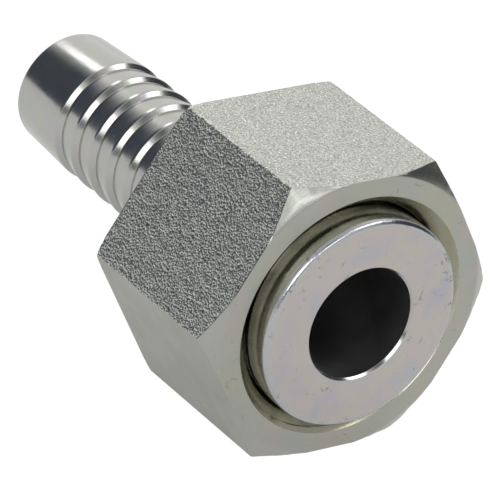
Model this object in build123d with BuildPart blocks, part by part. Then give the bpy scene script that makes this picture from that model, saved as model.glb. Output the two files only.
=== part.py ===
"""Face seal hose fitting: a turned stem with a flat sealing head and a barbed tail, and a loose swivel nut.

Millimetres. The axis runs along Y, with the sealing face at y = 0 looking towards -Y and the hose tail
towards +Y. Z is up, and the nut lies on its lower flat. At rest the nut is pushed back, so that the head
stands out of it.
"""
import os
from math import cos, radians, tan

from build123d import *

# swivel nut
thread_major_diameter = 30.16
thread_pitch = 25.4 / 12
wall_at_flats = 2.92
nut_length = 24.0
nut_set_back = 2.2
front_chamfer_width = 2.5
front_chamfer_angle = 35.0
rear_chamfer_width = 1.0
rear_chamfer_angle = 30.0
corner_fillet = 0.4
mouth_overrun = 0.6
relief_clearance = 0.15
relief_width = 2.6
lip_length = 5.3
lip_chamfer = 0.6

# sealing head, which stands in the nut's thread
head_clearance = 0.3
head_length = 8.5
face_rim_fillet = 0.75
head_back_chamfer = 0.5
flow_bore_diameter = 14.4
flow_bore_depth = 21.0
bore_mouth_chamfer = 0.3

# neck, which the nut's lip runs on
neck_diameter = 18.4
neck_clearance = 0.3
neck_behind_nut = 4.8
neck_end_chamfer = 0.8
neck_root_fillet = 0.4

# hose tail
crest_diameter = 16.2
crest_land = 0.4
crest_fillet = 0.1
barb_depth = 0.55
barb_pitch = 3.95
barb_count = 6
barb_face_angle = 45.0
lock_groove_width = 3.8
tip_land_length = 10.0
tip_taper_angle = 3.3
tip_fillet = 0.4
tail_wall = 1.3
tail_bore_chamfer = 0.4
drill_point_angle = 118.0

# the rest of the nut follows from the thread: 60 degree form, hexagon and socket around it
thread_minor_diameter = thread_major_diameter - 1.25 * cos(radians(30)) * thread_pitch
across_flats = thread_major_diameter + 2 * wall_at_flats
corner_radius = across_flats / 2 / cos(radians(30))
front_chamfer_run = front_chamfer_width * tan(radians(front_chamfer_angle))
rear_chamfer_run = rear_chamfer_width * tan(radians(rear_chamfer_angle))
mouth_diameter = thread_major_diameter + 2 * mouth_overrun
mouth_run = (mouth_diameter - thread_minor_diameter) / 2
relief_diameter = thread_major_diameter + 2 * relief_clearance
relief_run = (relief_diameter - thread_minor_diameter) / 2
nut_back = nut_set_back + nut_length
socket_floor = nut_back - lip_length
thread_end = socket_floor - relief_width

# the stem's radii and its positions along the axis
head_radius = thread_minor_diameter / 2 - head_clearance
neck_radius = neck_diameter / 2
lip_bore_radius = neck_radius + neck_clearance
flow_bore_radius = flow_bore_diameter / 2
crest_radius = crest_diameter / 2
root_radius = crest_radius - barb_depth
tail_bore_radius = root_radius - tail_wall
tip_radius = crest_radius - (tip_land_length - crest_land) * tan(radians(tip_taper_angle))
neck_end = nut_back + neck_behind_nut
barb_face_run = barb_depth / tan(radians(barb_face_angle))
first_crest = neck_end + lock_groove_width + barb_face_run
last_crest = first_crest + (barb_count - 1) * barb_pitch
tip_end = last_crest + tip_land_length
bore_step_run = (flow_bore_radius - tail_bore_radius) / tan(radians(drill_point_angle / 2))

# stem: half section with radius along X, turned about Y
with BuildPart() as stem:
    with BuildSketch(Plane.XY) as stem_section:
        with BuildLine():
            Polyline(
                (0, 0),
                (head_radius, 0),
                (head_radius, head_length),
                (neck_radius, head_length),
                (neck_radius, neck_end),
                (root_radius, neck_end),
                (root_radius, last_crest),
                (0, last_crest),
                close=True,
            )
        make_face()
        # the same barb all along the tail: steep towards the nut, gentle towards the hose end
        with Locations(*[(0, first_crest + i * barb_pitch) for i in range(barb_count - 1)]):
            Polygon(
                (0, -barb_face_run),
                (root_radius, -barb_face_run),
                (crest_radius, 0),
                (crest_radius, crest_land),
                (root_radius, barb_pitch - barb_face_run),
                (0, barb_pitch - barb_face_run),
                align=None,
            )
        # last barb, which runs out into the long tapered land
        with Locations((0, last_crest)):
            Polygon(
                (0, -barb_face_run),
                (root_radius, -barb_face_run),
                (crest_radius, 0),
                (crest_radius, crest_land),
                (tip_radius, tip_land_length),
                (0, tip_land_length),
                align=None,
            )
        rim = stem_section.vertices().group_by(Axis.X)[-1].sort_by(Axis.Y)[0]
        fillet(rim, face_rim_fillet)
        head_back = stem_section.vertices().group_by(Axis.X)[-1].sort_by(Axis.Y)[-1]
        chamfer(head_back, head_back_chamfer)
        on_neck = stem_section.vertices().filter_by_position(Axis.X, neck_radius, neck_radius)
        fillet(on_neck.sort_by(Axis.Y)[0], neck_root_fillet)
        on_neck = stem_section.vertices().filter_by_position(Axis.X, neck_radius, neck_radius)
        chamfer(on_neck.sort_by(Axis.Y)[-1], neck_end_chamfer)
        crests = stem_section.vertices().filter_by_position(Axis.X, crest_radius, crest_radius)
        fillet(crests, crest_fillet)
        tip_corner = stem_section.vertices().filter_by_position(Axis.X, tip_radius, tip_radius)
        fillet(tip_corner, tip_fillet)
    revolve(axis=Axis.Y)

    # stepped flow bore: wide from the sealing face, drill-point step, narrow through the tail
    with BuildSketch(Plane.XY):
        with BuildLine():
            Polyline(
                (0, 0),
                (flow_bore_radius + bore_mouth_chamfer, 0),
                (flow_bore_radius, bore_mouth_chamfer),
                (flow_bore_radius, flow_bore_depth),
                (tail_bore_radius, flow_bore_depth + bore_step_run),
                (tail_bore_radius, tip_end - tail_bore_chamfer),
                (tail_bore_radius + tail_bore_chamfer, tip_end),
                (0, tip_end),
                close=True,
            )
        make_face()
    revolve(axis=Axis.Y, mode=Mode.SUBTRACT)

# nut: hexagon bar with both ends turned to a cone and a stepped socket
with BuildPart() as nut:
    with BuildSketch(Plane.XZ.offset(-nut_set_back)):
        RegularPolygon(radius=across_flats / 2, side_count=6, major_radius=False)
    extrude(amount=-nut_length)
    fillet(nut.edges().filter_by(Axis.Y), corner_fillet)

    with BuildSketch(Plane.XY):
        with BuildLine():
            Polyline(
                (0, nut_set_back),
                (corner_radius - front_chamfer_width, nut_set_back),
                (corner_radius, nut_set_back + front_chamfer_run),
                (corner_radius, nut_back - rear_chamfer_run),
                (corner_radius - rear_chamfer_width, nut_back),
                (0, nut_back),
                close=True,
            )
        make_face()
    revolve(axis=Axis.Y, mode=Mode.INTERSECT)

    # socket: lead-in cone, thread wall, relief, then the lip that runs on the neck
    with BuildSketch(Plane.XY):
        with BuildLine():
            Polyline(
                (0, nut_set_back),
                (mouth_diameter / 2, nut_set_back),
                (thread_minor_diameter / 2, nut_set_back + mouth_run),
                (thread_minor_diameter / 2, thread_end),
                (relief_diameter / 2, thread_end + relief_run),
                (relief_diameter / 2, socket_floor),
                (lip_bore_radius + lip_chamfer, socket_floor),
                (lip_bore_radius, socket_floor + lip_chamfer),
                (lip_bore_radius, nut_back - lip_chamfer),
                (lip_bore_radius + lip_chamfer, nut_back),
                (0, nut_back),
                close=True,
            )
        make_face()
    revolve(axis=Axis.Y, mode=Mode.SUBTRACT)

os.makedirs("parts", exist_ok=True)

stem.part.label = "stem"
export_step(stem.part, "parts/stem.step")

nut.part.label = "nut"
export_step(nut.part, "parts/nut.step")
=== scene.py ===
from math import atan, atan2, cos, hypot, pi, radians, sin, sqrt, tan

import bpy
from mathutils import Euler, Matrix, Vector, noise


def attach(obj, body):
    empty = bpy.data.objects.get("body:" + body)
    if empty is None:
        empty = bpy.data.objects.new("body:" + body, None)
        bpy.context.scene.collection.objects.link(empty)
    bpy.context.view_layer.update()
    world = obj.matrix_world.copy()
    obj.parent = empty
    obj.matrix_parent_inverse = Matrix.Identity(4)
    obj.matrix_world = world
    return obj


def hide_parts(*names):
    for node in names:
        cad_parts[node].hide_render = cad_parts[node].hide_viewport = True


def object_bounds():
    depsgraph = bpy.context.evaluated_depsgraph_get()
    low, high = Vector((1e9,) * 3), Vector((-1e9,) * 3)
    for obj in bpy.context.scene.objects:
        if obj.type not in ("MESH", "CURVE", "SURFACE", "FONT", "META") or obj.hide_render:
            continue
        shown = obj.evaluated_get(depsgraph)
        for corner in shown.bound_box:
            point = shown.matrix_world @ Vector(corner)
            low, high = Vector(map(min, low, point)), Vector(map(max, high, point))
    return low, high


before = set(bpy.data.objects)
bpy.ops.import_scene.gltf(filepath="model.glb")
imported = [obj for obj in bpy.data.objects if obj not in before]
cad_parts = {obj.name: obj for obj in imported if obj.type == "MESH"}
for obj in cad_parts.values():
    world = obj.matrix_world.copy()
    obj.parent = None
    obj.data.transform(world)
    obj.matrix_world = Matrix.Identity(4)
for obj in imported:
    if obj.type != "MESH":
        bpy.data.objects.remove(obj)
cad_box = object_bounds()
MM = 0.001

# Face seal hose fitting: a plated stem with a flat sealing head and a barbed tail, and a loose swivel nut.
# Both are fine meshes round the Y axis, with the sizes of the solids that they stand for, in millimetres.

# nut: driving sizes
ACROSS_FLATS = 36.0
NUT_LENGTH = 24.0
NUT_FRONT = 2.2
CORNER_FILLET = 0.4
FRONT_CHAMFER = 2.5
FRONT_ANGLE = radians(35)
REAR_CHAMFER = 1.0
REAR_ANGLE = radians(30)
THREAD_MAJOR_RADIUS = 15.08
PITCH = 25.4 / 12
MOUTH_OVERRUN = 0.6
RELIEF_CLEARANCE = 0.15
RELIEF_WIDTH = 2.6
LIP_LENGTH = 5.3
LIP_CHAMFER = 0.6

# stem: driving sizes
HEAD_CLEARANCE = 0.3
HEAD_LENGTH = 8.5
HEAD_BACK_CHAMFER = 0.5
FLOW_RADIUS = 7.2
FLOW_DEPTH = 21.0
MOUTH_CHAMFER = 0.3
NECK_RADIUS = 9.2
NECK_CLEARANCE = 0.3
NECK_BEHIND_NUT = 4.8
NECK_CHAMFER = 0.8
CREST_RADIUS = 8.1
CREST_LAND = 0.4
BARB_DEPTH = 0.55
BARB_PITCH = 3.95
BARB_COUNT = 6
BARB_FACE_ANGLE = radians(45)
GROOVE_WIDTH = 3.8
TIP_LAND = 10.0
TIP_ANGLE = radians(3.3)
TAIL_WALL = 1.3
TAIL_BORE_CHAMFER = 0.4
HALF_DRILL_POINT = radians(59)

# what follows from them: radii, then places along the axis
CORNER_RADIUS = ACROSS_FLATS / 2 / cos(pi / 6)
FACE_RADIUS = CORNER_RADIUS - FRONT_CHAMFER
REAR_RADIUS = CORNER_RADIUS - REAR_CHAMFER
THREAD_DEPTH = 5 / 8 * cos(pi / 6) * PITCH
THREAD_MINOR_RADIUS = THREAD_MAJOR_RADIUS - THREAD_DEPTH
MOUTH_RADIUS = THREAD_MAJOR_RADIUS + MOUTH_OVERRUN
RELIEF_RADIUS = THREAD_MAJOR_RADIUS + RELIEF_CLEARANCE
LIP_RADIUS = NECK_RADIUS + NECK_CLEARANCE
HEAD_RADIUS = THREAD_MINOR_RADIUS - HEAD_CLEARANCE
ROOT_RADIUS = CREST_RADIUS - BARB_DEPTH
TAIL_BORE_RADIUS = ROOT_RADIUS - TAIL_WALL
TIP_RADIUS = CREST_RADIUS - (TIP_LAND - CREST_LAND) * tan(TIP_ANGLE)
NUT_BACK = NUT_FRONT + NUT_LENGTH
SOCKET_FLOOR = NUT_BACK - LIP_LENGTH
THREAD_END = SOCKET_FLOOR - RELIEF_WIDTH
NECK_END = NUT_BACK + NECK_BEHIND_NUT
BARB_RUN = BARB_DEPTH / tan(BARB_FACE_ANGLE)
FIRST_CREST = NECK_END + GROOVE_WIDTH + BARB_RUN
TIP_END = FIRST_CREST + (BARB_COUNT - 1) * BARB_PITCH + TIP_LAND
BORE_STEP = FLOW_DEPTH + (FLOW_RADIUS - TAIL_BORE_RADIUS) / tan(HALF_DRILL_POINT)


def at(r, y, angle):
    """A point in metres, from radius and place along the axis in millimetres and an angle from +X to +Z."""
    return (r * cos(angle) * MM, y * MM, r * sin(angle) * MM)


def mesh_object(name, vertices, faces, materials, sharp_angle):
    """An object from vertices and (corners, slot) faces, smooth apart from edges sharper than the angle."""
    mesh = bpy.data.meshes.new(name)
    mesh.from_pydata(vertices, [], [corners for corners, _ in faces])
    for material in materials:
        mesh.materials.append(material)
    for polygon, (_, slot) in zip(mesh.polygons, faces):
        polygon.material_index = slot
        polygon.use_smooth = True
    mesh.validate()
    mesh.set_sharp_from_angle(angle=sharp_angle)
    piece = bpy.data.objects.new(name, mesh)
    bpy.context.scene.collection.objects.link(piece)
    return piece


# nodes that the materials and the world share
def noise_of(tree, vector, scale, detail=3.0, rough=0.55, distortion=0.0):
    node = tree.nodes.new("ShaderNodeTexNoise")
    node.inputs["Scale"].default_value = scale
    node.inputs["Detail"].default_value = detail
    node.inputs["Roughness"].default_value = rough
    node.inputs["Distortion"].default_value = distortion
    tree.links.new(vector, node.inputs["Vector"])
    return node.outputs["Fac"]


def ramp(tree, factor, stops):
    """The colour at a factor between stops of (position, colour)."""
    node = tree.nodes.new("ShaderNodeValToRGB")
    elements = node.color_ramp.elements
    elements.remove(elements[-1])
    elements[0].position = stops[0][0]
    elements[0].color = (*stops[0][1], 1)
    for position, colour in stops[1:]:
        elements.new(position).color = (*colour, 1)
    tree.links.new(factor, node.inputs["Fac"])
    return node.outputs["Color"]


def map_range(tree, value, low, high, to_low=0.0, to_high=1.0, interpolation="LINEAR"):
    node = tree.nodes.new("ShaderNodeMapRange")
    node.interpolation_type = interpolation
    node.inputs["From Min"].default_value = low
    node.inputs["From Max"].default_value = high
    node.inputs["To Min"].default_value = to_low
    node.inputs["To Max"].default_value = to_high
    tree.links.new(value, node.inputs["Value"])
    return node.outputs["Result"]


def mix_colours(tree, blend_type):
    node = tree.nodes.new("ShaderNodeMix")
    node.data_type = "RGBA"
    node.blend_type = blend_type
    return node


# plated steel, with noise scales in cycles to the metre and depths in millimetres
NOISE_LOW = 0.3
NOISE_HIGH = 0.7
MARK_SCALE = 420
MARK_EDGE = 0.06
RING_SCALE = 5200
RING_DEPTH = 0.02


def with_marks(tree, place, colour, level, strength):
    """The colour, darkened in small handling marks where a noise is above the level."""
    spots = noise_of(tree, place, MARK_SCALE, detail=5.0, rough=0.7, distortion=1.5)
    dark = 1 - strength
    keep = ramp(tree, spots, [(level, (1, 1, 1)), (level + MARK_EDGE, (dark, dark, dark))])
    darken = mix_colours(tree, "MULTIPLY")
    darken.inputs["Factor"].default_value = 1.0
    tree.links.new(colour, darken.inputs["A"])
    tree.links.new(keep, darken.inputs["B"])
    return darken.outputs["Result"]


def turned_rings(tree, place):
    """The height of fine tool lines round the axis, from the distance to it and the place along it."""
    parts = tree.nodes.new("ShaderNodeSeparateXYZ")
    tree.links.new(place, parts.inputs["Vector"])
    across = tree.nodes.new("ShaderNodeCombineXYZ")
    tree.links.new(parts.outputs["X"], across.inputs["X"])
    tree.links.new(parts.outputs["Z"], across.inputs["Y"])
    radius = tree.nodes.new("ShaderNodeVectorMath")
    radius.operation = "LENGTH"
    tree.links.new(across.outputs["Vector"], radius.inputs[0])
    section = tree.nodes.new("ShaderNodeCombineXYZ")
    tree.links.new(radius.outputs["Value"], section.inputs["X"])
    tree.links.new(parts.outputs["Y"], section.inputs["Y"])
    return noise_of(tree, section.outputs["Vector"], RING_SCALE, detail=2.0)


def pebbles(tree, place, scale):
    """The height of a pebbled grain, as distance from the middle of each cell."""
    node = tree.nodes.new("ShaderNodeTexVoronoi")
    node.inputs["Scale"].default_value = scale
    tree.links.new(place, node.inputs["Vector"])
    return node.outputs["Distance"]


def stacked_bumps(tree, heights):
    """The normal after bumps of (height, strength, depth) laid one over the other, or None without bumps."""
    normal = None
    for height, strength, depth in heights:
        bump = tree.nodes.new("ShaderNodeBump")
        bump.inputs["Strength"].default_value = strength
        bump.inputs["Distance"].default_value = depth * MM
        tree.links.new(height, bump.inputs["Height"])
        if normal:
            tree.links.new(normal, bump.inputs["Normal"])
        normal = bump.outputs["Normal"]
    return normal


def metal(name, tints, tint_scale, roughness, roughness_scale, bumps=(), grain=None, rings=0.0, marks=None):
    """A plated steel surface whose colour and roughness wander with noise.

    Tints are (noise level, colour) stops and roughness is a (low, high) range. Each bump is (scale, strength,
    depth), grain is (scale, depth), rings is the strength of the tool lines, and marks is (level, strength).
    """
    material = bpy.data.materials.new(name)
    material.use_nodes = True
    tree = material.node_tree
    shader = tree.nodes["Principled BSDF"]
    shader.inputs["Metallic"].default_value = 1.0
    place = tree.nodes.new("ShaderNodeTexCoord").outputs["Object"]
    colour = ramp(tree, noise_of(tree, place, tint_scale), tints)
    if marks:
        colour = with_marks(tree, place, colour, *marks)
    tree.links.new(colour, shader.inputs["Base Color"])
    wander = noise_of(tree, place, roughness_scale, detail=4.0)
    rough = map_range(tree, wander, NOISE_LOW, NOISE_HIGH, *roughness)
    tree.links.new(rough, shader.inputs["Roughness"])
    heights = []
    for scale, strength, depth in bumps:
        heights.append((noise_of(tree, place, scale, rough=0.65), strength, depth))
    if grain:
        scale, depth = grain
        heights.append((pebbles(tree, place, scale), 1.0, -depth))
    if rings:
        heights.append((turned_rings(tree, place), rings, RING_DEPTH))
    normal = stacked_bumps(tree, heights)
    if normal:
        tree.links.new(normal, shader.inputs["Normal"])
    return material


# nut's surfaces: grained and smooth flats, turned faces, cone at the corners, lead-in cone painted paler as a
# painted highlight, and thread
GRAINED = metal(
    "grained zinc",
    tints=[(0.36, (0.38, 0.38, 0.355)), (0.50, (0.56, 0.56, 0.53)), (0.64, (0.70, 0.70, 0.67))],
    tint_scale=3600,
    roughness=(0.15, 0.27),
    roughness_scale=1500,
    bumps=[(1900, 1.0, 0.08)],
    grain=(3400, 0.10),
)
SMOOTH = metal(
    "drawn zinc",
    tints=[(0.35, (0.42, 0.41, 0.37)), (0.65, (0.46, 0.46, 0.43))],
    tint_scale=120,
    roughness=(0.32, 0.42),
    roughness_scale=300,
    bumps=[(900, 0.12, 0.05), (3500, 0.25, 0.02)],
    marks=(0.64, 0.25),
)
TURNED = metal(
    "turned zinc",
    tints=[
        (0.32, (0.46, 0.44, 0.37)),
        (0.46, (0.43, 0.44, 0.40)),
        (0.58, (0.47, 0.44, 0.41)),
        (0.70, (0.43, 0.45, 0.41)),
    ],
    tint_scale=110,
    roughness=(0.28, 0.38),
    roughness_scale=200,
    bumps=[(700, 0.06, 0.03)],
    rings=0.35,
    marks=(0.63, 0.35),
)
CONE = metal(
    "chamfer zinc",
    tints=[(0.32, (0.47, 0.45, 0.38)), (0.46, (0.44, 0.45, 0.41)), (0.60, (0.46, 0.45, 0.42))],
    tint_scale=90,
    roughness=(0.24, 0.32),
    roughness_scale=200,
    bumps=[(700, 0.05, 0.03)],
    rings=0.30,
    marks=(0.64, 0.3),
)
# lead-in cone: the nut's zinc painted paler than the rest, a painted highlight standing in for its bright
# band
MOUTH_HIGHLIGHT = metal(
    "mouth zinc with painted highlight",
    tints=[(0.40, (0.62, 0.60, 0.47)), (0.60, (0.66, 0.65, 0.54))],
    tint_scale=200,
    roughness=(0.20, 0.30),
    roughness_scale=200,
    rings=0.30,
)
THREAD = metal(
    "thread zinc",
    tints=[(0.40, (0.34, 0.33, 0.24)), (0.60, (0.48, 0.47, 0.37))],
    tint_scale=200,
    roughness=(0.22, 0.32),
    roughness_scale=200,
)

# stem's surfaces: iridescent sealing face, its bright rim, the bright outside, and the bore, dull in
# roughness and dark in colour as painted shade
FACE = metal(
    "passivated face",
    tints=[
        (0.30, (0.46, 0.49, 0.55)),
        (0.43, (0.55, 0.495, 0.51)),
        (0.55, (0.55, 0.52, 0.48)),
        (0.68, (0.50, 0.475, 0.54)),
    ],
    tint_scale=150,
    roughness=(0.28, 0.38),
    roughness_scale=250,
    bumps=[(500, 0.04, 0.03)],
    rings=0.15,
    marks=(0.625, 0.45),
)
RIM = metal(
    "bright rim",
    tints=[(0.36, (0.50, 0.52, 0.52)), (0.48, (0.52, 0.51, 0.54)), (0.62, (0.50, 0.52, 0.53))],
    tint_scale=260,
    roughness=(0.14, 0.22),
    roughness_scale=500,
    bumps=[(1300, 0.6, 0.06)],
    rings=0.12,
    marks=(0.585, 0.5),
)
BRIGHT = metal(
    "bright zinc",
    tints=[(0.36, (0.49, 0.51, 0.47)), (0.48, (0.51, 0.49, 0.50)), (0.62, (0.50, 0.51, 0.46))],
    tint_scale=260,
    roughness=(0.13, 0.22),
    roughness_scale=500,
    bumps=[(1100, 0.22, 0.03), (300, 0.10, 0.06)],
    rings=0.12,
)
# bore: a rougher, dull finish, and a dark colour that is painted shade inside the hole
SHADED_BORE = metal(
    "shaded bore",
    tints=[(0.35, (0.24, 0.24, 0.24)), (0.65, (0.30, 0.30, 0.30))],
    tint_scale=150,
    roughness=(0.40, 0.50),
    roughness_scale=200,
)

# nut: the mesh's columns round the axis, as degrees from a corner and as a count between the corners, and its
# rows along each flat. The margin puts a column that stands on a corner with the side after it.
CORNER_COLUMNS = (0.0, 0.18, 0.36, 0.55, 0.9)
FLAT_COLUMNS = 48
FLAT_ROWS = 30
SMOOTH_SIDES = (0, 3)
CORNER_MARGIN = 1e-6
NUT_SHARP_ANGLE = radians(30)
NUT_SURFACES = {
    "grained": GRAINED,
    "smooth": SMOOTH,
    "turned": TURNED,
    "thread": THREAD,
    "cone": CONE,
    "mouth": MOUTH_HIGHLIGHT,
}

# half of the thread's 60 degree form from root to crest, as (share of the pitch, share of the depth). The
# spare turns carry the helix past both ends of its wall. Points this near the cone in millimetres are on it,
# and points this near each other in metres are one.
HALF_THREAD = ((0.055, 0.0), (0.0725, 0.07), (0.3575, 0.96), (0.385, 1.0))
SPARE_TURNS = 3
ON_CONE = 0.002
SAME_POINT = 1e-7

# worn details of the nut: dents in the grained flats, and a front edge that wanders where the cone is wide
# enough, by a noise that is read along a circle
DENT_DEPTH = 0.16
DENT_SCALE = 1.3
WANDER = 0.10
WANDER_RADIUS = 22
WANDER_LAYER = 1.7
WANDER_FROM = 0.3

# rounded edges of the nut, and a ring on each flat face that keeps its shading flat
RELIEF_FILLET = 0.3
REAR_FACE_RING = 12.5
FRONT_FACE_RING = 16.6
REAR_RIM = ((0.35, 0.0), (0.1, 0.04), (0.0, 0.15))
REAR_EDGE = 0.25
FRONT_EDGE = 0.10
CONE_EDGE = 0.03
FRONT_EDGE_RISE = 0.07
FRONT_MIDDLE_RISE = 0.05
FRONT_RIM_RISE = 0.03
FRONT_RIM_OUT = 0.02
FRONT_RIM_IN = 0.12


def nut_columns():
    """The angles of the columns: close together at the hexagon's rounded corners, even along its flats."""
    found = []
    last = CORNER_COLUMNS[-1]
    step = (60 - 2 * last) / (FLAT_COLUMNS + 1)
    for side in range(6):
        start = 60.0 * side
        found += [start + a for a in CORNER_COLUMNS]
        found += [start + last + step * k for k in range(1, FLAT_COLUMNS + 1)]
        found += [start + 60 - a for a in reversed(CORNER_COLUMNS[1:])]
    return [radians(a) for a in found]


def is_smooth(angle):
    """Whether the side at this angle is one of the two smooth flats."""
    return int((angle % (2 * pi)) / (pi / 3) + CORNER_MARGIN) in SMOOTH_SIDES


def hexagon_radius(angle):
    """Distance from the axis to the rounded hexagon, with corners at 0, 60, 120 degrees and so on."""
    from_corner = abs((angle + pi / 6) % (pi / 3) - pi / 6)
    from_flat = pi / 6 - from_corner
    flat = ACROSS_FLATS / 2
    centre = (flat - CORNER_FILLET) / cos(pi / 6)
    tangent = atan((flat - CORNER_FILLET) * tan(pi / 6) / flat)
    if from_flat < tangent:
        return flat / cos(from_flat)
    return centre * cos(from_corner) + sqrt(CORNER_FILLET ** 2 - (centre * sin(from_corner)) ** 2)


def mouth_cone(y):
    """Radius of the lead-in cone, which is a 45 degree one, at a place along the axis."""
    return MOUTH_RADIUS - (y - NUT_FRONT)


def socket_section():
    """Socket behind the thread, and the lip."""
    middle = RELIEF_FILLET * (1 - cos(pi / 4))
    return [
        (RELIEF_RADIUS, THREAD_END, "thread"),
        (RELIEF_RADIUS, SOCKET_FLOOR - RELIEF_FILLET, "thread"),
        (RELIEF_RADIUS - middle, SOCKET_FLOOR - middle, "thread"),
        (RELIEF_RADIUS - RELIEF_FILLET, SOCKET_FLOOR, "thread"),
        (LIP_RADIUS + LIP_CHAMFER, SOCKET_FLOOR, "turned"),
        (LIP_RADIUS, SOCKET_FLOOR + LIP_CHAMFER, "turned"),
        (LIP_RADIUS, NUT_BACK - LIP_CHAMFER, "turned"),
        (LIP_RADIUS + LIP_CHAMFER, NUT_BACK, "turned"),
    ]


def rear_section(outer):
    """Rear face with its rounded rim, out to the back of the hexagon."""
    rim = min(outer, REAR_RADIUS)
    section = [(REAR_FACE_RING, NUT_BACK, "turned")]
    section += [(rim - inward, NUT_BACK - forward, "turned") for inward, forward in REAR_RIM]
    return section


def flat_section(angle, outer, back, front):
    """One line along the hexagon from back to front, with shallow dents where the flat is grained."""
    surface = "smooth" if is_smooth(angle) else "grained"
    depth = 0.0 if is_smooth(angle) else DENT_DEPTH
    section = [(outer, back, surface)]
    for k in range(1, FLAT_ROWS):
        y = back + (front - back) * k / FLAT_ROWS
        dent = noise.noise(Vector((cos(angle) * outer, y, sin(angle) * outer)) * DENT_SCALE)
        section.append((outer - depth * max(dent, 0), y, surface))
    return section


def front_section(outer, edge):
    """Turned cone at the corners, then the front face in to the mouth."""
    rim = min(outer, FACE_RADIUS)
    middle = 0.5 * (outer + rim)
    middle_rise = max((middle - FACE_RADIUS) * tan(FRONT_ANGLE), FRONT_MIDDLE_RISE)
    has_cone = outer > FACE_RADIUS + FRONT_EDGE
    return [
        (outer, edge + FRONT_EDGE, "cone"),
        (outer - CONE_EDGE if has_cone else outer, edge, "cone"),
        (middle, NUT_FRONT + middle_rise, "cone"),
        (min(rim + FRONT_RIM_OUT, middle), NUT_FRONT + FRONT_RIM_RISE, "turned"),
        (rim - FRONT_RIM_IN, NUT_FRONT, "turned"),
        (FRONT_FACE_RING, NUT_FRONT, "turned"),
        (MOUTH_RADIUS + FRONT_RIM_IN, NUT_FRONT, "turned"),
        (MOUTH_RADIUS, NUT_FRONT, "turned"),
    ]


def nut_section(angle):
    """The nut's section at an angle as (radius, y, surface), from the thread's end round to the mouth."""
    outer = hexagon_radius(angle)
    rise = max(outer - FACE_RADIUS, 0) * tan(FRONT_ANGLE)
    if outer > FACE_RADIUS + WANDER_FROM:
        place = Vector((cos(angle) * WANDER_RADIUS, sin(angle) * WANDER_RADIUS, WANDER_LAYER))
        rise += noise.noise(place) * WANDER
    edge = NUT_FRONT + max(rise, FRONT_EDGE_RISE)
    back = NUT_BACK - max(max(outer - REAR_RADIUS, 0) * tan(REAR_ANGLE), REAR_EDGE)
    section = socket_section() + rear_section(outer)
    section += flat_section(angle, outer, back, edge + FRONT_EDGE)
    section += front_section(outer, edge)
    return section


def thread_rows():
    """The helix's rows as (turns, radius), one turn after the other."""
    form = [(0.0, 0.0)]
    form += HALF_THREAD
    form += [(1 - turn, share) for turn, share in reversed(HALF_THREAD)]
    turns = int((THREAD_END - NUT_FRONT) / PITCH) + SPARE_TURNS
    rows = []
    for turn in range(-1, turns):
        rows += [(turn + part, THREAD_MAJOR_RADIUS - share * THREAD_DEPTH) for part, share in form]
    return rows


def make_nut():
    angles = nut_columns()
    count = len(angles)
    slots = list(NUT_SURFACES)
    vertices = []
    faces = []
    numbers = {}

    def vertex(r, y, angle):
        point = at(r, y, angle)
        key = tuple(round(c / SAME_POINT) for c in point)
        if key not in numbers:
            numbers[key] = len(vertices)
            vertices.append(point)
        return numbers[key]

    def add_face(corners, surface):
        ring = list(dict.fromkeys(corners))
        if len(ring) > 2:
            faces.append((tuple(ring), slots.index(surface)))

    def is_on_cone(v):
        x, y, z = vertices[v]
        return abs(hypot(x, z) / MM - mouth_cone(y / MM)) < ON_CONE

    # helical thread, cut off by the lead-in cone in front and running out at 45 degrees into the relief
    def thread_point(row, column):
        turn, radius = row
        lead = angles[column] / (2 * pi) if column < count else 1.0
        y = min(max(NUT_FRONT + (turn - lead) * PITCH, NUT_FRONT), THREAD_END)
        run_out = RELIEF_RADIUS - (THREAD_END - y)
        return vertex(max(radius, mouth_cone(y), run_out), y, angles[column % count])

    rows = thread_rows()
    for row, next_row in zip(rows, rows[1:]):
        for column in range(count):
            corners = (
                thread_point(row, column),
                thread_point(row, column + 1),
                thread_point(next_row, column + 1),
                thread_point(next_row, column),
            )
            add_face(corners, "mouth" if all(is_on_cone(v) for v in corners) else "thread")

    # the rest of the nut, strip by strip between two columns
    sections = [nut_section(angle) for angle in angles]
    for column in range(count):
        following = (column + 1) % count
        here = angles[column]
        there = angles[following]
        flat = "smooth" if is_smooth(here + ((there - here) % (2 * pi)) / 2) else "grained"
        points = list(zip(sections[column], sections[following]))
        for (a, b), (d, c) in zip(points, points[1:]):
            corners = (
                vertex(a[0], a[1], here),
                vertex(b[0], b[1], there),
                vertex(c[0], c[1], there),
                vertex(d[0], d[1], here),
            )
            add_face(corners, flat if a[2] in ("grained", "smooth") else a[2])
    return mesh_object("nut_turned", vertices, faces, NUT_SURFACES.values(), NUT_SHARP_ANGLE)


# stem: fillets of its section, and the steps of the mesh
BORE_MOUTH_EDGE = 0.1
FACE_INNER_EDGE = 0.08
RIM_FILLET = 0.75
BACK_EDGE = 0.15
NECK_ROOT_FILLET = 0.4
NECK_EDGE = 0.3
GROOVE_FILLET = 0.2
BARB_FOOT = 0.12
CREST_FRONT = 0.16
CREST_BACK = 0.3
TIP_FILLET = 0.4
TAIL_BORE_EDGE = 0.1
BORE_STEP_EDGE = 0.2
FILLET_STEPS = 7
FILLET_LIMIT = 0.45
STEM_COLUMNS = 256
STEM_SHARP_ANGLE = radians(40)
STEM_SURFACES = {"face": FACE, "bright": BRIGHT, "shaded bore": SHADED_BORE, "rim": RIM}


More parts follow.
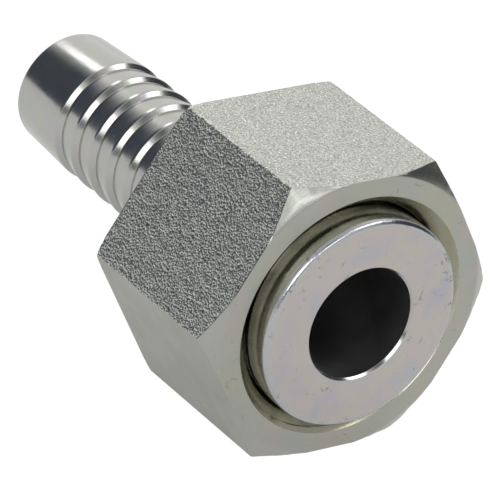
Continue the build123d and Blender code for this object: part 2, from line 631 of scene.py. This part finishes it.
def stem_corners():
    """The stem's section as (radius, y, fillet, surface from there on), once round from the bore's mouth."""
    corners = [
        (FLOW_RADIUS, MOUTH_CHAMFER, BORE_MOUTH_EDGE, "bright"),
        (FLOW_RADIUS + MOUTH_CHAMFER, 0, FACE_INNER_EDGE, "face"),
        (HEAD_RADIUS, 0, RIM_FILLET, "rim"),
        (HEAD_RADIUS, HEAD_LENGTH - HEAD_BACK_CHAMFER, BACK_EDGE, "bright"),
        (HEAD_RADIUS - HEAD_BACK_CHAMFER, HEAD_LENGTH, BACK_EDGE, "bright"),
        (NECK_RADIUS, HEAD_LENGTH, NECK_ROOT_FILLET, "bright"),
        (NECK_RADIUS, NECK_END - NECK_CHAMFER, NECK_EDGE, "bright"),
        (NECK_RADIUS - NECK_CHAMFER, NECK_END, BACK_EDGE, "bright"),
        (ROOT_RADIUS, NECK_END, GROOVE_FILLET, "bright"),
    ]
    for barb in range(BARB_COUNT):
        crest = FIRST_CREST + barb * BARB_PITCH
        corners.append((ROOT_RADIUS, crest - BARB_RUN, BARB_FOOT, "bright"))
        corners.append((CREST_RADIUS, crest, CREST_FRONT, "bright"))
        corners.append((CREST_RADIUS, crest + CREST_LAND, CREST_BACK, "bright"))
    corners += [
        (TIP_RADIUS, TIP_END, TIP_FILLET, "bright"),
        (TAIL_BORE_RADIUS + TAIL_BORE_CHAMFER, TIP_END, TAIL_BORE_EDGE, "shaded bore"),
        (TAIL_BORE_RADIUS, TIP_END - TAIL_BORE_CHAMFER, TAIL_BORE_EDGE, "shaded bore"),
        (TAIL_BORE_RADIUS, BORE_STEP, BORE_STEP_EDGE, "shaded bore"),
        (FLOW_RADIUS, FLOW_DEPTH, BORE_STEP_EDGE, "shaded bore"),
    ]
    return corners


def arc(before, corner, after, fillet):
    """Points of the fillet at a corner between its two neighbours, smaller where they are too near for it."""
    towards = Vector(before) - Vector(corner)
    onwards = Vector(after) - Vector(corner)
    half = towards.angle(onwards) / 2
    reach = min(fillet / tan(half), FILLET_LIMIT * towards.length, FILLET_LIMIT * onwards.length)
    towards.normalize()
    onwards.normalize()
    radius = reach * tan(half)
    start = Vector(corner) + towards * reach
    end = Vector(corner) + onwards * reach
    middle = Vector(corner) + (towards + onwards).normalized() * (radius / sin(half))
    first = atan2(start.y - middle.y, start.x - middle.x)
    turn = atan2(end.y - middle.y, end.x - middle.x) - first
    turn = (turn + pi) % (2 * pi) - pi
    angles = [first + turn * k / FILLET_STEPS for k in range(FILLET_STEPS + 1)]
    return [(middle.x + radius * cos(a), middle.y + radius * sin(a)) for a in angles]


def make_stem():
    corners = stem_corners()
    outline = []
    surfaces = []
    for i, (r, y, fillet, surface) in enumerate(corners):
        following = corners[(i + 1) % len(corners)]
        outline += arc(corners[i - 1][:2], (r, y), following[:2], fillet)
        # the rim's surface ends with its arc, and the others run on to the next corner
        surfaces += [surface] * FILLET_STEPS + ["bright" if surface == "rim" else surface]
    slots = list(STEM_SURFACES)
    vertices = []
    faces = []
    size = len(outline)
    for column in range(STEM_COLUMNS):
        vertices += [at(r, y, 2 * pi * column / STEM_COLUMNS) for r, y in outline]
        here = column * size
        there = (column + 1) % STEM_COLUMNS * size
        for j in range(size):
            n = (j + 1) % size
            faces.append(((here + j, here + n, there + n, there + j), slots.index(surfaces[j])))
    return mesh_object("stem_turned", vertices, faces, STEM_SURFACES.values(), STEM_SHARP_ANGLE)


nut = make_nut()
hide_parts("nut")
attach(nut, "nut")

stem = make_stem()
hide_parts("stem")
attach(stem, "stem")

# floor: white to the camera, pale in reflections, with the object's soft shadow kept
FLOOR_REACH = 4.0
FLOOR_COLOUR = (0.80, 0.81, 0.78, 1)
FLOOR_GLOW = 1.08
GLOW_TO_CAMERA = 0.90
GLOW_TO_METAL = 0.36


def glow_share(tree):
    """How much of the floor's look is glow: most of it to the camera, some of it to rays from the metal."""
    path = tree.nodes.new("ShaderNodeLightPath")
    to_camera = tree.nodes.new("ShaderNodeMath")
    to_camera.operation = "MULTIPLY"
    to_camera.inputs[1].default_value = GLOW_TO_CAMERA
    tree.links.new(path.outputs["Is Camera Ray"], to_camera.inputs[0])
    to_both = tree.nodes.new("ShaderNodeMath")
    to_both.operation = "MULTIPLY_ADD"
    to_both.inputs[1].default_value = GLOW_TO_METAL
    tree.links.new(path.outputs["Is Glossy Ray"], to_both.inputs[0])
    tree.links.new(to_camera.outputs[0], to_both.inputs[2])
    return to_both.outputs[0]


def paper():
    material = bpy.data.materials.new("paper")
    material.use_nodes = True
    tree = material.node_tree
    tree.nodes.clear()
    diffuse = tree.nodes.new("ShaderNodeBsdfDiffuse")
    diffuse.inputs["Color"].default_value = FLOOR_COLOUR
    glow = tree.nodes.new("ShaderNodeEmission")
    glow.inputs["Color"].default_value = (1, 1, 1, 1)
    glow.inputs["Strength"].default_value = FLOOR_GLOW
    mixer = tree.nodes.new("ShaderNodeMixShader")
    tree.links.new(glow_share(tree), mixer.inputs[0])
    tree.links.new(diffuse.outputs[0], mixer.inputs[1])
    tree.links.new(glow.outputs[0], mixer.inputs[2])
    output = tree.nodes.new("ShaderNodeOutputMaterial")
    tree.links.new(mixer.outputs[0], output.inputs["Surface"])
    return material


def make_floor():
    height = cad_box[0][2]
    corners = [(-1, -1), (1, -1), (1, 1), (-1, 1)]
    mesh = bpy.data.meshes.new("floor")
    mesh.from_pydata([(x * FLOOR_REACH, y * FLOOR_REACH, height) for x, y in corners], [], [(0, 1, 2, 3)])
    mesh.materials.append(paper())
    floor = bpy.data.objects.new("floor", mesh)
    bpy.context.scene.collection.objects.link(floor)
    return floor


floor = make_floor()

# softboxes, in metres and watts, all turned to the middle of the object
LIT_POINT = Vector((0, 0.03, 0))


def softbox(name, place, size, power):
    light = bpy.data.lights.new(name, "AREA")
    light.shape = "RECTANGLE"
    light.size, light.size_y = size
    light.energy = power
    lamp = bpy.data.objects.new(name, light)
    lamp.location = place
    lamp.rotation_euler = (LIT_POINT - Vector(place)).to_track_quat("-Z", "Y").to_euler()
    bpy.context.scene.collection.objects.link(lamp)


softbox("left box", place=(-0.64, -0.86, 0.50), size=(0.66, 0.58), power=3.1)
softbox("right box", place=(0.56, -0.56, 0.85), size=(0.66, 0.34), power=1.9)
softbox("low front box", place=(0.10, -1.05, 0.52), size=(0.40, 0.26), power=0.7)
softbox("top strip", place=(0.15, 0.80, 0.85), size=(0.20, 0.70), power=0.70)

# studio walls: a grey room, and round patches laid over it one after the other, each with its direction,
# the cosines of the angles at which it starts and is full, and its colour
ROOM = (0.60, 0.61, 0.60, 1)
PATCHES = [
    # pale, behind on the right
    ((0.65, 0.62, 0.42), (0.50, 0.85), (0.92, 0.93, 0.89, 1)),
    # dark, behind on the left
    ((-0.50, 0.70, 0.42), (0.72, 0.94), (0.075, 0.088, 0.11, 1)),
    # dark, on the right
    ((0.93, -0.33, 0.22), (0.82, 0.94), (0.055, 0.064, 0.078, 1)),
    # dark, low in front on the left
    ((-0.55, -0.83, 0.02), (0.88, 0.97), (0.04, 0.05, 0.065, 1)),
    # dark gap between the softboxes, in front and above
    ((-0.14, -0.67, 0.73), (0.975, 0.99), (0.16, 0.17, 0.18, 1)),
]


def make_world():
    world = bpy.data.worlds.new("studio")
    bpy.context.scene.world = world
    world.use_nodes = True
    tree = world.node_tree
    direction = tree.nodes.new("ShaderNodeTexCoord").outputs["Generated"]
    below = None
    for towards, (start, full), colour in PATCHES:
        cosine = tree.nodes.new("ShaderNodeVectorMath")
        cosine.operation = "DOT_PRODUCT"
        cosine.inputs[1].default_value = Vector(towards).normalized()
        tree.links.new(direction, cosine.inputs[0])
        amount = map_range(tree, cosine.outputs["Value"], start, full, interpolation="SMOOTHSTEP")
        layer = mix_colours(tree, "MIX")
        tree.links.new(amount, layer.inputs["Factor"])
        layer.inputs["B"].default_value = colour
        if below:
            tree.links.new(below, layer.inputs["A"])
        else:
            layer.inputs["A"].default_value = ROOM
        below = layer.outputs["Result"]
    tree.links.new(below, tree.nodes["Background"].inputs["Color"])
    tree.nodes["Background"].inputs["Strength"].default_value = 1.0


make_world()

# camera: a long lens, a little rolled, that looks at the axis near the back of the nut
CAMERA_AIM = Vector((-0.329, 22.774, -0.392)) * MM
CAMERA_DISTANCE = 637.02 * MM
CAMERA_AZIMUTH = radians(37.8038)
CAMERA_ELEVATION = radians(27.2814)
CAMERA_ROLL = radians(8.3918)
CAMERA_LENS = 378.59
CAMERA_SENSOR = 36.0
CAMERA_NEAR = 0.01


def make_camera():
    data = bpy.data.cameras.new("camera")
    data.sensor_width = CAMERA_SENSOR
    data.lens = CAMERA_LENS
    data.clip_start = CAMERA_NEAR
    level = Euler((pi / 2 - CAMERA_ELEVATION, 0, -CAMERA_AZIMUTH)).to_matrix()
    turn = level @ Matrix.Rotation(CAMERA_ROLL, 3, "Z")
    backward = turn @ Vector((0, 0, 1))
    camera = bpy.data.objects.new("camera", data)
    camera.matrix_world = Matrix.Translation(CAMERA_AIM + backward * CAMERA_DISTANCE) @ turn.to_4x4()
    bpy.context.scene.collection.objects.link(camera)
    return camera


bpy.context.scene.camera = make_camera()
bpy.context.scene.view_settings.view_transform = "Standard"
